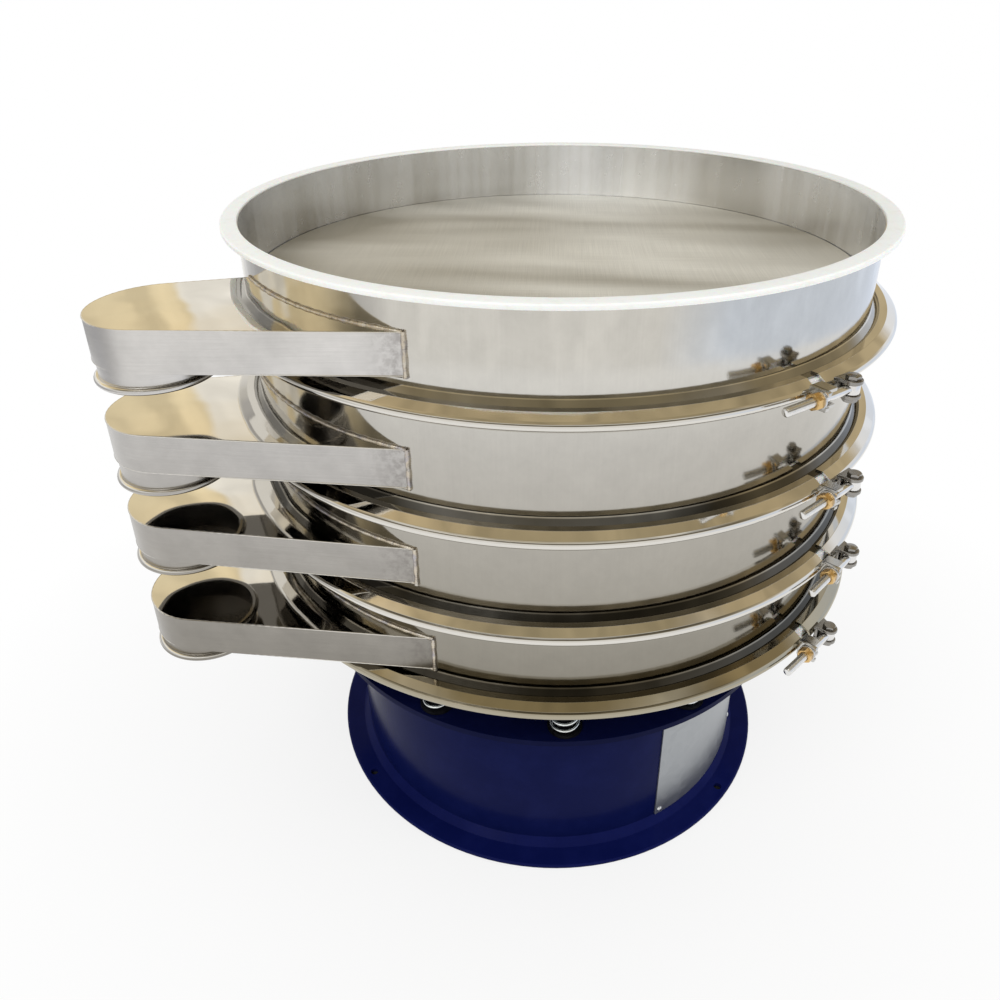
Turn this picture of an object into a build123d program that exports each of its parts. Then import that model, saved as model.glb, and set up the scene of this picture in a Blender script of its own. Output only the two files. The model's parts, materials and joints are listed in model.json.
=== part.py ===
from build123d import *
from math import asin, atan2, cos, degrees, pi, radians, sin
import os

# Three-screen rotary vibrating sieve. Millimetres, floor at Z 0, stack axis on Z,
# viewer in front at -Y, outlets to the left, clamp latches to the right front.
# Decks and clamp joints are numbered from the top down.

# Stack
pan_joint_z = 456
deck_heights = (134.5, 158, 148, 129)
wall_r = 478
wall_t = 2.5
flange_width = 19
flange_t = 3
weld_bevel = 8
joint_gap = 16

# Screens
drum_inset = 4.5
drum_t = 2.5
drum_lift = 36.5
screen_flange_t = 3
mesh_t = 0.8
mesh_land = 8

# Gaskets
gasket_lip = 6
rim_gasket_t = 3
rim_gasket_foot = 1.2
rim_gasket_grip = 6
rim_gasket_setback = 1

# Clamp bands: widths are measured from the flange's edge
band_t = 2.5
band_play = 2.5
band_lip = 8
band_nose = 14
band_depth = 18
band_nose_drop = 3.5
band_face_z = 3
band_gap = 22
latch_azimuths = (-53, -46.5, -40.5, -43)

# Latches, drawn at azimuth 0: the rod lies along -Y and swings out to +X
latch_standoff = 15
pin_y = 48
pin_r = 5
running = 0.05
pin_flats = 16
pin_head_h = 5
eye_wall = 5
eye_play = 0.2
eye_web_gap = 1
lug_t = 5
lug_wall = 7
lug_play = 1
rod_r = 6
rod_length = 118
rod_chamfer = 1
slot_play = 0.5
saddle_length = 22
saddle_wall = 5
saddle_cheek = 6.5
saddle_overhang = 9
weld_sink = 8
washer_lap = 6
washer_t = 2.5
nut_flats = 19
nut_h = 10

# Outlet spouts: each deck is clamped at its own heading
spout_azimuths = (-143.2, -146.5, -147.5, -145.6)
corner_azimuths = (-110.5, -111.2, -111.1, -108.8)
spout_lifts = (30, 35, 36, 21)
back_swing = 5.2
spout_end_reach = 131
spout_end_r = 87
spout_h = 55.5
spout_t = 2
spout_root = 45
collar_heights = (32, 40, 30, 28)
collar_swing = 0.3
collar_reach = 144
collar_r = 73
collar_t = 2.5
collar_bead = 3

# Bottom pan
pan_lift = 19
pan_rise = 24
pan_t = 2
pan_knee_inset = 191
pan_knee_drop = 8

# Drive frame
drive_plate_drop = 38
drive_plate_t = 6
rib_count = 8
rib_t = 6
rib_h = 14

# Vibration motor
motor_r = 112
motor_height = 213
motor_flange_width = 38
motor_flange_t = 15
motor_neck_step = 10
motor_neck_h = 14
motor_neck_play = 2
motor_bolt_offset = 20
motor_bolt_count = 8
motor_bolt_r = 6
motor_bolt_flats = 19
motor_bolt_head_h = 7
motor_bolt_nut_h = 9
fin_count = 16
fin_depth = 8
fin_t = 6
fin_margin = 20
fin_root = 2
terminal_size = (64, 90, 60)
terminal_drop = 108
terminal_sink = 8
terminal_round = 8
gland_flats_r = 12
gland_r = 9
gland_nut_h = 8
gland_length = 18

# Shaft and weights
shaft_r = 22
shaft_end = 12
shaft_top = 8
shaft_chamfer = 2
hub_wall = 20
weight_gap = 3
weight_span = 150
upper_weight_r = 90
upper_weight_h = 30
upper_azimuth = 0
lower_weight_r = 122
lower_weight_h = 40
lower_azimuth = 35
trim_weight_r = 112
trim_weight_h = 10
trim_azimuth = 60

# Springs
spring_count = 12
spring_phase = -85.6
spring_inset = 83
spring_space = 102
spring_r = 21
wire_width = 5
coil_turn_count = 6
coil_facet_count = 9
spring_play = 0.6
seat_margin = 3.5
seat_t = 4
seat_bolt_flats = 24
seat_bolt_h = 8
stud_r = 6
stud_tail = 25
stud_nut_flats = 19
stud_nut_h = 10

# Base: widths are measured from the circle of springs
base_plate_t = 10
base_plate_edge = 32
base_plate_inner = 95
body_inset = 28
body_t = 5
foot_width = 47
foot_t = 8
foot_round = 2.5
foot_bevel = 12
anchor_inset = 17
anchor_azimuth = 36.3
anchor_hole_r = 7
cover_azimuths = (-57.8, -11)
cover_low = 21
cover_headroom = 26
cover_t = 2.5
cover_overlap = 22
screw_inset = 9
screw_r = 3
screw_head_r = 5.5
screw_head_h = 3
screw_length = 9

# Places that follow from the sizes
DECKS = range(1, len(deck_heights) + 1)
foot = [pan_joint_z + sum(deck_heights[deck:]) for deck in DECKS]
rim_z = foot[0] + deck_heights[0]
half_gap = joint_gap / 2
band_z = half_gap + flange_t
wall_inner_r = wall_r - wall_t
flange_r = wall_r + flange_width
drum_inner_r = wall_inner_r - drum_inset
band_r = flange_r + band_depth
latch_r = band_r + latch_standoff
lug_inner_z = rod_r + lug_play
lug_outer_z = lug_inner_z + lug_t
lug_r = pin_r + lug_wall
eye_r = pin_r + eye_wall
saddle_y = saddle_length / 2
latch_back_r = band_r - band_t / 2
gap_low_y = saddle_y - saddle_overhang
drive_plate_z = pan_joint_z - drive_plate_drop
base_plate_z = drive_plate_z - spring_space
motor_bottom_z = drive_plate_z - motor_height
motor_flange_low = drive_plate_z - motor_flange_t
motor_bolt_circle_r = motor_r + motor_bolt_offset
motor_neck_r = motor_r - motor_neck_step
spring_circle_r = wall_r - spring_inset
seat_r = spring_r + wire_width / 2 + seat_margin
spring_low = base_plate_z + seat_t
spring_high = drive_plate_z - seat_t
upper_weight_z = drive_plate_z + motor_neck_h + weight_gap
lower_weight_z = motor_bottom_z - weight_gap - lower_weight_h
trim_weight_z = lower_weight_z - trim_weight_h
body_r = spring_circle_r - body_inset
foot_r = body_r + foot_width
cover_high = base_plate_z - cover_headroom


def ring(*outline):
    """Solid of revolution about Z from (radius, height) corners."""
    corners = [Vector(r, 0, z) for r, z in outline]
    return revolve(make_face(Wire.make_polygon(corners, close=True)), Axis.Z)


def tube(outer, inner, low, high):
    return ring((inner, low), (outer, low), (outer, high), (inner, high))


def disc(radius, low, high, at=(0, 0)):
    return extrude(Pos(*at, low) * Circle(radius), high - low)


def hexagon(flats, low, high, at=(0, 0)):
    return extrude(Pos(*at, low) * RegularPolygon(flats / 2, 6, major_radius=False), high - low)


def around(shape, count, phase=0):
    return [Rot(0, 0, phase + 360 * i / count) * shape for i in range(count)]


def sector(radius, start, end, low, high):
    """Wedge between two azimuths, for cutting round pieces."""
    far = radius * 1.5
    middle = (start + end) / 2
    corners = [(0, 0)] + [(far * cos(radians(a)), far * sin(radians(a))) for a in (start, middle, end)]
    return extrude(Pos(0, 0, low) * make_face(Polyline(*corners, close=True)), high - low)


def save(name, *shapes):
    solids = [s for shape in shapes for s in shape.solids()]
    export_step(solids[0] if len(solids) == 1 else Compound(children=solids), f"parts/{name}.step")


# Outlets

def polar(radius, azimuth):
    return Vector(radius * cos(radians(azimuth)), radius * sin(radians(azimuth)))


def tangent_point(corner, centre, side):
    """Where a line from the corner touches the spout's round end."""
    away = corner - centre
    swing = degrees(asin(spout_end_r / away.length))
    heading = degrees(atan2(away.Y, away.X)) + side * (90 - swing)
    return centre + polar(spout_end_r, heading)


def spout_plan(deck):
    """Plan of the chute: a round end and two sides that run on into the drum."""
    azimuth = spout_azimuths[deck - 1]
    centre = polar(wall_r + spout_end_reach, azimuth)
    front, back = polar(wall_r, corner_azimuths[deck - 1]), polar(wall_r, azimuth - back_swing)
    front_end, back_end = tangent_point(front, centre, -1), tangent_point(back, centre, 1)
    front_in = front + (front - front_end).normalized() * spout_root
    back_in = back + (back - back_end).normalized() * spout_root
    tip = centre + polar(spout_end_r, azimuth)
    return make_face(Wire([Line(front_in, front_end), ThreePointArc(front_end, tip, back_end),
                           Line(back_end, back_in), Line(back_in, front_in)]))


def spout_floor(deck):
    return foot[deck - 1] + spout_lifts[deck - 1]


def collar_centre(deck):
    return polar(wall_r + collar_reach, spout_azimuths[deck - 1] - collar_swing)


def spout_space(deck):
    """The chute's inside, long enough to open the drum wall."""
    bore = offset(spout_plan(deck), -spout_t, kind=Kind.INTERSECTION)
    return extrude(Pos(0, 0, spout_floor(deck) + spout_t) * bore, spout_h - 2 * spout_t)


def spout(deck):
    floor, centre = spout_floor(deck), collar_centre(deck)
    box = extrude(Pos(0, 0, floor) * spout_plan(deck), spout_h)
    box -= disc(wall_r, floor - spout_h, floor + 2 * spout_h)
    box -= disc(collar_r - collar_t, floor - 1, floor + spout_t + 1, (centre.X, centre.Y))
    return box - spout_space(deck)


def collar(deck):
    """Short outlet tube with a rolled bead at its mouth."""
    top = spout_floor(deck)
    low, bead, slope = top - collar_heights[deck - 1], collar_bead, collar_bead / 2
    pipe = ring((collar_r - collar_t, low), (collar_r + slope, low), (collar_r + bead, low + slope),
                (collar_r + bead, low + bead + slope), (collar_r, low + 2 * bead + slope),
                (collar_r, top), (collar_r - collar_t, top))
    return Pos(collar_centre(deck)) * pipe


# Stack

def flanged_wall(low, high):
    """Drum wall with a flat flange at each end and a bevelled weld behind it."""
    under, over = low + flange_t, high - flange_t
    return ring((wall_inner_r, low), (flange_r, low), (flange_r, under),
                (wall_r + weld_bevel, under), (wall_r, under + weld_bevel),
                (wall_r, over - weld_bevel), (wall_r + weld_bevel, over),
                (flange_r, over), (flange_r, high), (wall_inner_r, high))


def deck_frame(deck):
    high = rim_z if deck == 1 else foot[deck - 2] - half_gap
    return flanged_wall(foot[deck - 1] + half_gap, high) - spout_space(deck)


def screen_ring(deck):
    z = foot[deck - 1]
    low, top = z - screen_flange_t / 2, z + drum_lift
    inner, outer = drum_inner_r, drum_inner_r + drum_t
    return ring((inner, low), (flange_r, low), (flange_r, low + screen_flange_t),
                (outer, low + screen_flange_t), (outer, top), (inner - mesh_land, top),
                (inner - mesh_land, top - drum_t), (inner, top - drum_t))


def screen_mesh(deck):
    z = foot[deck - 1] + drum_lift
    return disc(drum_inner_r + drum_t, z, z + mesh_t)


def clamp_gasket(deck):
    z = foot[deck - 1]
    half = screen_flange_t / 2
    outer = flange_r + gasket_lip
    return ring((wall_r, z - half_gap), (outer, z - half_gap), (outer, z + half_gap),
                (wall_r, z + half_gap), (wall_r, z + half), (flange_r, z + half),
                (flange_r, z - half), (wall_r, z - half))


def rim_gasket():
    """U profile pushed over the top flange."""
    t, under = rim_gasket_t, rim_z - flange_t
    low = under - rim_gasket_foot
    inner, grip = wall_inner_r + rim_gasket_setback, flange_r - rim_gasket_grip
    return ring((inner, rim_z), (flange_r, rim_z), (flange_r, under), (grip, under), (grip, low),
                (flange_r + t, low), (flange_r + t, rim_z + t), (inner, rim_z + t))


def bottom_pan():
    """Flanged rim with a floor that rises to the middle, so fines run outward."""
    low, edge = foot[-1] - screen_flange_t / 2, foot[-1] + pan_lift
    inner, outer = drum_inner_r, drum_inner_r + pan_t
    rim = ring((inner, low), (flange_r, low), (flange_r, low + screen_flange_t),
               (outer, low + screen_flange_t), (outer, edge), (inner, edge))
    knee_r, knee_z, crown_z = inner - pan_knee_inset, edge + pan_rise - pan_knee_drop, edge + pan_rise
    dome = ring((outer, edge - pan_t), (outer, edge), (knee_r, knee_z), (0, crown_z),
                (0, crown_z - pan_t), (knee_r, knee_z - pan_t))
    return rim + dome


# Clamp bands and latches

def band_channel():
    """Sheet channel: flat lips, cones and a blunt nose, mirrored about the joint."""
    slope = band_t * 0.7
    lip_r, shoulder_r = flange_r - band_lip, flange_r + band_play
    nose_r, nose_z = flange_r + band_nose, band_z - band_nose_drop
    outer = [(lip_r, band_z + band_t), (shoulder_r, band_z + band_t), (nose_r, nose_z), (band_r, band_face_z)]
    inner = [(band_r - band_t, band_face_z - slope), (nose_r - slope, nose_z - slope),
             (shoulder_r - slope / 2, band_z), (lip_r, band_z)]
    half = outer + [(r, -z) for r, z in reversed(outer)]
    back = [(r, -z) for r, z in reversed(inner)] + inner
    return ring(*half, *back)


def latch_block(outer, y, width, low, high):
    """Block from inside the band's nose out to a radius."""
    inner = latch_back_r - weld_sink
    return Pos((outer + inner) / 2, y, (low + high) / 2) * Box(outer - inner, width, high - low)


def rounded_lug(low, high):
    """Ear of the yoke, rounded about the pin."""
    ear = disc(lug_r, low, high, (latch_r, pin_y))
    ear += latch_block(latch_r, pin_y, 2 * lug_r, low, high)
    return ear - disc(pin_r, low - 1, high + 1, (latch_r, pin_y))


def latch_blocks():
    """Slotted saddle and pinned yoke, welded to the band's two ends."""
    half = rod_r + slot_play
    top = half + saddle_cheek
    saddle = latch_block(latch_r + half + saddle_wall, 0, saddle_length, -top, top)
    slot = Cylinder(half, 2 * saddle_length) + Pos(2 * half, 0, 0) * Box(4 * half, 2 * half, 2 * saddle_length)
    saddle -= Pos(latch_r, 0, 0) * Rot(90, 0, 0) * slot
    yoke = latch_block(latch_r - eye_r - eye_web_gap, pin_y, 2 * lug_r, -lug_outer_z, lug_outer_z)
    yoke += rounded_lug(lug_inner_z, lug_outer_z) + rounded_lug(-lug_outer_z, -lug_inner_z)
    return (saddle + yoke) - disc(latch_back_r, -2 * top, 2 * top)


def clamp_band():
    band = band_channel()
    depth = 2 * (band_depth + band_lip)
    band -= Pos(band_r, gap_low_y + band_gap / 2, 0) * Box(depth, band_gap, 4 * band_z)
    return band + latch_blocks()


def latch_pin():
    at = (latch_r, pin_y)
    pin = disc(pin_r, -lug_outer_z, lug_outer_z, at)
    pin += hexagon(pin_flats, lug_outer_z, lug_outer_z + pin_head_h, at)
    return pin + hexagon(pin_flats, -lug_outer_z - pin_head_h, -lug_outer_z, at)


def eye_bolt():
    half = lug_inner_z - eye_play
    rod = Rot(90, 0, 0) * Cylinder(rod_r, rod_length, align=(Align.CENTER, Align.CENTER, Align.MIN))
    rod = chamfer(rod.edges().filter_by(GeomType.CIRCLE).sort_by(Axis.Y)[0], rod_chamfer)
    bolt = Pos(latch_r, pin_y, 0) * rod + disc(eye_r, -half, half, (latch_r, pin_y))
    return bolt - disc(pin_r + running, -2 * half, 2 * half, (latch_r, pin_y))


def along_rod(face_y, length, flat):
    """A nut or washer on the rod, from face_y away from the pin."""
    section = flat - Circle(rod_r + running)
    return Pos(latch_r, face_y, 0) * Rot(90, 0, 0) * extrude(section, length)


def latch_washer():
    return along_rod(-saddle_y, washer_t, Circle(rod_r + washer_lap))


def latch_nut():
    hexa = RegularPolygon(nut_flats / 2, 6, major_radius=False)
    return along_rod(-saddle_y - washer_t, nut_h, hexa)


def at_latch(deck, shape):
    return Pos(0, 0, foot[deck - 1]) * Rot(0, 0, latch_azimuths[deck - 1]) * shape


# Springs

def spring():
    """Faceted coil of square wire, one straight run per facet."""
    rise = spring_high - spring_low - wire_width - 2 * spring_play
    steps = coil_turn_count * coil_facet_count
    points = []
    for i in range(steps + 1):
        turn = 2 * pi * i / coil_facet_count
        points.append(Vector(spring_r * cos(turn), spring_r * sin(turn), rise * i / steps))
    path = Wire.make_polygon(points, close=False)
    start = points[1] - points[0]
    section = Plane(origin=points[0], z_dir=start, x_dir=(0, 0, 1)) * \
        RegularPolygon(wire_width / 2, 4, rotation=45, major_radius=False)
    coil = sweep(section, path=path, transition=Transition.RIGHT)
    return Pos(spring_circle_r, 0, spring_low + wire_width / 2 + spring_play) * coil


def spring_seat(plate_t):
    """Disc under a coil, held by a bolt whose head centres the coil, with its nut."""
    seat = disc(seat_r, 0, seat_t) + hexagon(seat_bolt_flats, seat_t, seat_t + seat_bolt_h)
    seat += disc(stud_r, -plate_t - stud_tail, 0)
    return Pos(spring_circle_r, 0, 0) * (seat + hexagon(stud_nut_flats, -plate_t - stud_nut_h, -plate_t))


def lower_seats():
    piece = Pos(0, 0, base_plate_z) * spring_seat(base_plate_t)
    return around(piece, spring_count, spring_phase)


def upper_seats():
    piece = Pos(0, 0, drive_plate_z) * Rot(180, 0, 0) * spring_seat(drive_plate_t)
    return around(piece, spring_count, spring_phase)


def stud_holes(low, high):
    return around(disc(stud_r, low, high, (spring_circle_r, 0)), spring_count, spring_phase)


# Drive frame and motor

def drive_frame():
    top = foot[-1] - half_gap
    opening_r = motor_neck_r + motor_neck_play
    shell = ring((opening_r, drive_plate_z), (wall_r, drive_plate_z), (wall_r, top - flange_t),
                 (flange_r, top - flange_t), (flange_r, top), (wall_inner_r, top),
                 (wall_inner_r, drive_plate_z + drive_plate_t), (opening_r, drive_plate_z + drive_plate_t))
    inner = motor_bolt_circle_r + motor_bolt_flats
    outer = spring_circle_r - seat_r
    rib = Pos((inner + outer) / 2, 0, drive_plate_z + drive_plate_t + rib_h / 2) * \
        Box(outer - inner, rib_t, rib_h)
    shell += around(rib, rib_count, 360 / rib_count / 2)
    shell -= stud_holes(drive_plate_z - 1, drive_plate_z + drive_plate_t + 1)
    return shell - motor_bolt_holes(drive_plate_z - 1, drive_plate_z + drive_plate_t + 1)


def motor_bolt_holes(low, high):
    return around(disc(motor_bolt_r, low, high, (motor_bolt_circle_r, 0)), motor_bolt_count)


def motor_housing():
    body = disc(motor_r, motor_bottom_z, motor_flange_low)
    body += disc(motor_r + motor_flange_width, motor_flange_low, drive_plate_z)
    body += disc(motor_neck_r, drive_plate_z, drive_plate_z + motor_neck_h)
    fin_low, fin_high = motor_bottom_z + fin_margin, motor_flange_low - fin_margin
    fin = Pos(motor_r + (fin_depth - fin_root) / 2, 0, (fin_low + fin_high) / 2) * \
        Box(fin_depth + fin_root, fin_t, fin_high - fin_low)
    body += [f for f in around(fin, fin_count, 180 / fin_count) if not terminal_side(f)]
    body -= disc(shaft_r + running, 0, drive_plate_z + 2 * motor_neck_h)
    return body - motor_bolt_holes(motor_flange_low - 1, drive_plate_z + 1)


def terminal_side(fin):
    """True for the fins that the terminal box stands in front of."""
    centre = fin.center()
    return centre.X < 0 and abs(centre.Y) < terminal_size[1] / 2 + fin_t


def motor_bolt():
    low, high = motor_flange_low, drive_plate_z + drive_plate_t
    at = (motor_bolt_circle_r, 0)
    bolt = disc(motor_bolt_r, low, high + motor_bolt_nut_h, at)
    bolt += hexagon(motor_bolt_flats, low - motor_bolt_head_h, low, at)
    return bolt + hexagon(motor_bolt_flats, high, high + motor_bolt_nut_h, at)


def terminal_box():
    depth, width, height = terminal_size
    place = Pos(terminal_sink - motor_r - depth / 2, 0, drive_plate_z - terminal_drop)
    box = Box(depth, width, height)
    box = fillet(box.edges().filter_by(Axis.X), terminal_round)
    gland = extrude(RegularPolygon(gland_flats_r, 6), gland_nut_h) + extrude(Circle(gland_r), gland_length)
    box = place * (box + Pos(0, 0, -height / 2) * Rot(180, 0, 0) * gland)
    return box - disc(motor_r, motor_bottom_z, drive_plate_z)


def motor_shaft():
    shaft = disc(shaft_r, trim_weight_z - shaft_end, upper_weight_z + upper_weight_h + shaft_top)
    return chamfer(shaft.edges().filter_by(GeomType.CIRCLE), shaft_chamfer)


def eccentric(radius, low, thickness, azimuth):
    """Fan-shaped weight with a round hub on the shaft."""
    high = low + thickness
    fan = disc(radius, low, high) & sector(radius, azimuth - weight_span / 2,
                                           azimuth + weight_span / 2, low, high)
    return fan + disc(shaft_r + hub_wall, low, high) - disc(shaft_r, low - 1, high + 1)


# Base

def base_foot():
    """Flat anchor flange with a bevelled weld up to the cylinder."""
    foot_ring = ring((body_r, 0), (foot_r - foot_round, 0), (foot_r, foot_round), (foot_r, foot_t - foot_round),
                     (foot_r - foot_round, foot_t), (body_r + foot_bevel, foot_t),
                     (body_r, foot_t + foot_bevel))
    return foot_ring - [disc(anchor_hole_r, -1, foot_t + 1, at) for at in anchor_places()]


def anchor_places():
    at = polar(foot_r - anchor_inset, anchor_azimuth)
    return (at.X, at.Y), (-at.X, at.Y), (-at.X, -at.Y), (at.X, -at.Y)


def base_body():
    """Cylinder with the hole behind the cover."""
    body = tube(body_r, body_r - body_t, 0, base_plate_z - base_plate_t)
    lap = degrees(cover_overlap / body_r)
    start, end = cover_azimuths
    body -= sector(body_r, start + lap, end - lap, cover_low + cover_overlap, cover_high - cover_overlap)
    return body - at_cover_corners(screw_shank())


def base_plate():
    low = base_plate_z - base_plate_t
    plate = tube(spring_circle_r + base_plate_edge, spring_circle_r - base_plate_inner, low, base_plate_z)
    return plate - stud_holes(low - 1, base_plate_z + 1)


def service_cover():
    start, end = cover_azimuths
    sheet = tube(body_r + cover_t, body_r, cover_low, cover_high)
    sheet &= sector(body_r, start, end, cover_low, cover_high)
    return sheet - at_cover_corners(screw_shank())


def screw_shank():
    return Pos(body_r + cover_t, 0, 0) * Rot(0, -90, 0) * extrude(Circle(screw_r), screw_length)


def cover_screw():
    head = Pos(body_r + cover_t, 0, 0) * Rot(0, 90, 0) * extrude(Circle(screw_head_r), screw_head_h)
    return screw_shank() + head


def at_cover_corners(shape):
    inset = degrees(screw_inset / body_r)
    start, end = cover_azimuths
    return [Rot(0, 0, azimuth) * Pos(0, 0, z) * shape for azimuth in (start + inset, end - inset)
            for z in (cover_low + screw_inset, cover_high - screw_inset)]


os.makedirs("parts", exist_ok=True)

save("base_foot", base_foot())
save("base_body", base_body())
save("base_plate", base_plate())
save("service_cover", service_cover())
save("cover_screws", *at_cover_corners(cover_screw()))
save("lower_spring_seats", *lower_seats())
save("springs", *around(spring(), spring_count, spring_phase))
save("upper_spring_seats", *upper_seats())
save("drive_frame", drive_frame())
save("motor_housing", motor_housing())
save("motor_bolts", *around(motor_bolt(), motor_bolt_count))
save("terminal_box", terminal_box())
save("motor_shaft", motor_shaft())
save("upper_weight", eccentric(upper_weight_r, upper_weight_z, upper_weight_h, upper_azimuth))
save("lower_weight", eccentric(lower_weight_r, lower_weight_z, lower_weight_h, lower_azimuth))
save("trim_weight", eccentric(trim_weight_r, trim_weight_z, trim_weight_h, trim_azimuth))
save("bottom_pan", bottom_pan())
save("rim_gasket", rim_gasket())
for deck in DECKS:
    save(f"deck_frame_{deck}", deck_frame(deck))
    save(f"spout_{deck}", spout(deck))
    save(f"outlet_collar_{deck}", collar(deck))
    save(f"clamp_gasket_{deck}", clamp_gasket(deck))
    save(f"clamp_band_{deck}", at_latch(deck, clamp_band()))
    save(f"latch_pin_{deck}", at_latch(deck, latch_pin()))
    save(f"eye_bolt_{deck}", at_latch(deck, eye_bolt()))
    save(f"latch_washer_{deck}", at_latch(deck, latch_washer()))
    save(f"latch_nut_{deck}", at_latch(deck, latch_nut()))
for deck in DECKS[:-1]:
    save(f"screen_ring_{deck}", screen_ring(deck))
    save(f"screen_mesh_{deck}", screen_mesh(deck))
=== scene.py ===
import json
from math import asin, atan2, cos, pi, radians, sin, sqrt, tan

import bmesh
import bpy
from mathutils import Matrix, Vector


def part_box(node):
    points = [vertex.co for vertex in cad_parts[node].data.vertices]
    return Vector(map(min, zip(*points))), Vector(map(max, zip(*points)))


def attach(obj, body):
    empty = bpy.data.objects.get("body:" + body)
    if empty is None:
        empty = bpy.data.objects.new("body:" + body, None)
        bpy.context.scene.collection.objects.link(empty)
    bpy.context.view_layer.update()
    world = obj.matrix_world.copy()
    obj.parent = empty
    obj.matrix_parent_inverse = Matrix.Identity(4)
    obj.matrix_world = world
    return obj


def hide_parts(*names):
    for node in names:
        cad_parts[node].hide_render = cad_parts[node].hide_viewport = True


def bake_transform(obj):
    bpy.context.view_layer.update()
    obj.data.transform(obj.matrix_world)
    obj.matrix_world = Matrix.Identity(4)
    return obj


# Vibrating sieve. The frame's solids get their looks, and finer pieces stand in for some of them. Those
# ride with the same bodies, and their places are read from the frame.
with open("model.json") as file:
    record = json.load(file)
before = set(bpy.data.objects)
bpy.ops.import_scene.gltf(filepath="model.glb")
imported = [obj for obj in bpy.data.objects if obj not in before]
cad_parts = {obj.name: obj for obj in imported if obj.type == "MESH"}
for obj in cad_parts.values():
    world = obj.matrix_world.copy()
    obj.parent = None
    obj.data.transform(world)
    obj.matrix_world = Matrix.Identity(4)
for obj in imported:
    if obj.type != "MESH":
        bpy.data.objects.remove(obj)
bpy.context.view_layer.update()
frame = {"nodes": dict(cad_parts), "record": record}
nodes = frame["nodes"]
record = frame["record"]
DECKS = (1, 2, 3, 4)
MM = 0.001

# ---- Camera, fitted to the photo's circles
CAMERA_AT = Vector((0.0, -1.3451, 1.3240))
CAMERA_YAW, CAMERA_PITCH, CAMERA_ROLL = -0.0708, 0.4932, -0.0153
CAMERA_SHIFT = (0.0033, -0.0602)
CAMERA_CLIP = (0.05, 60.0)
FOCAL_SHARE = 0.8547  # focal length over the sensor's width
SENSOR = 36.0


def make_camera():
    data = bpy.data.cameras.new("camera")
    data.sensor_width = SENSOR
    data.lens = FOCAL_SHARE * SENSOR
    data.shift_x, data.shift_y = CAMERA_SHIFT
    data.clip_start, data.clip_end = CAMERA_CLIP
    obj = bpy.data.objects.new("camera", data)
    bpy.context.scene.collection.objects.link(obj)
    ahead = Vector((sin(CAMERA_YAW) * cos(CAMERA_PITCH), cos(CAMERA_YAW) * cos(CAMERA_PITCH),
                    -sin(CAMERA_PITCH)))
    right = Vector((cos(CAMERA_YAW), -sin(CAMERA_YAW), 0.0))
    up = right.cross(ahead)
    side = right * cos(CAMERA_ROLL) + up * sin(CAMERA_ROLL)
    top = up * cos(CAMERA_ROLL) - right * sin(CAMERA_ROLL)
    turn = Matrix((side, top, -ahead)).transposed()
    obj.matrix_world = Matrix.Translation(CAMERA_AT) @ turn.to_4x4()
    bpy.context.scene.camera = obj


make_camera()


# ---- Places, read from the frame
def low_of(node):
    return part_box(node)[0]


def high_of(node):
    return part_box(node)[1]


GASKET_LIP = 6 * MM     # clamp gaskets beyond the flanges
BAND_DEPTH = 18 * MM    # bands beyond the flanges
FLANGE_WIDTH = 19 * MM  # flanges beyond the drum wall
WALL_T = 2.5 * MM
FLANGE_R = high_of("clamp_gasket_1")[0] - GASKET_LIP
BAND_R = FLANGE_R + BAND_DEPTH
WALL_R = FLANGE_R - FLANGE_WIDTH
WALL_INNER_R = WALL_R - WALL_T
GASKET_R = high_of("rim_gasket")[0]
RIM_TOP = high_of("rim_gasket")[2]
FOOT_R = high_of("base_foot")[0]
joint_z = [(low_of(f"clamp_gasket_{d}")[2] + high_of(f"clamp_gasket_{d}")[2]) / 2 for d in DECKS]

PIN_ASIDE = 48 * MM  # from the radius that the latch stands on to its pin
joints = {j["name"]: j for j in record["behaviour"]["joints"]}
pin_at = [Vector(joints[f"latch_{d}_swing"]["pos_m"]) for d in DECKS]
LATCH_R = sqrt(pin_at[0].x ** 2 + pin_at[0].y ** 2 - PIN_ASIDE ** 2)
latch_azimuth = [atan2(p.y, p.x) - atan2(PIN_ASIDE, LATCH_R) for p in pin_at]


def at_latch(deck):
    """The latch's own frame: X out from the stack's axis, Y towards the pin, Z up from the joint."""
    turn = Matrix.Rotation(latch_azimuth[deck - 1], 4, "Z")
    return Matrix.Translation((0, 0, joint_z[deck - 1])) @ turn


# ---- Materials
def socket_name(key):
    """The input that a keyword stands for: base_color is Base Color."""
    return key.replace("_", " ").title().replace("Ior", "IOR")


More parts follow.
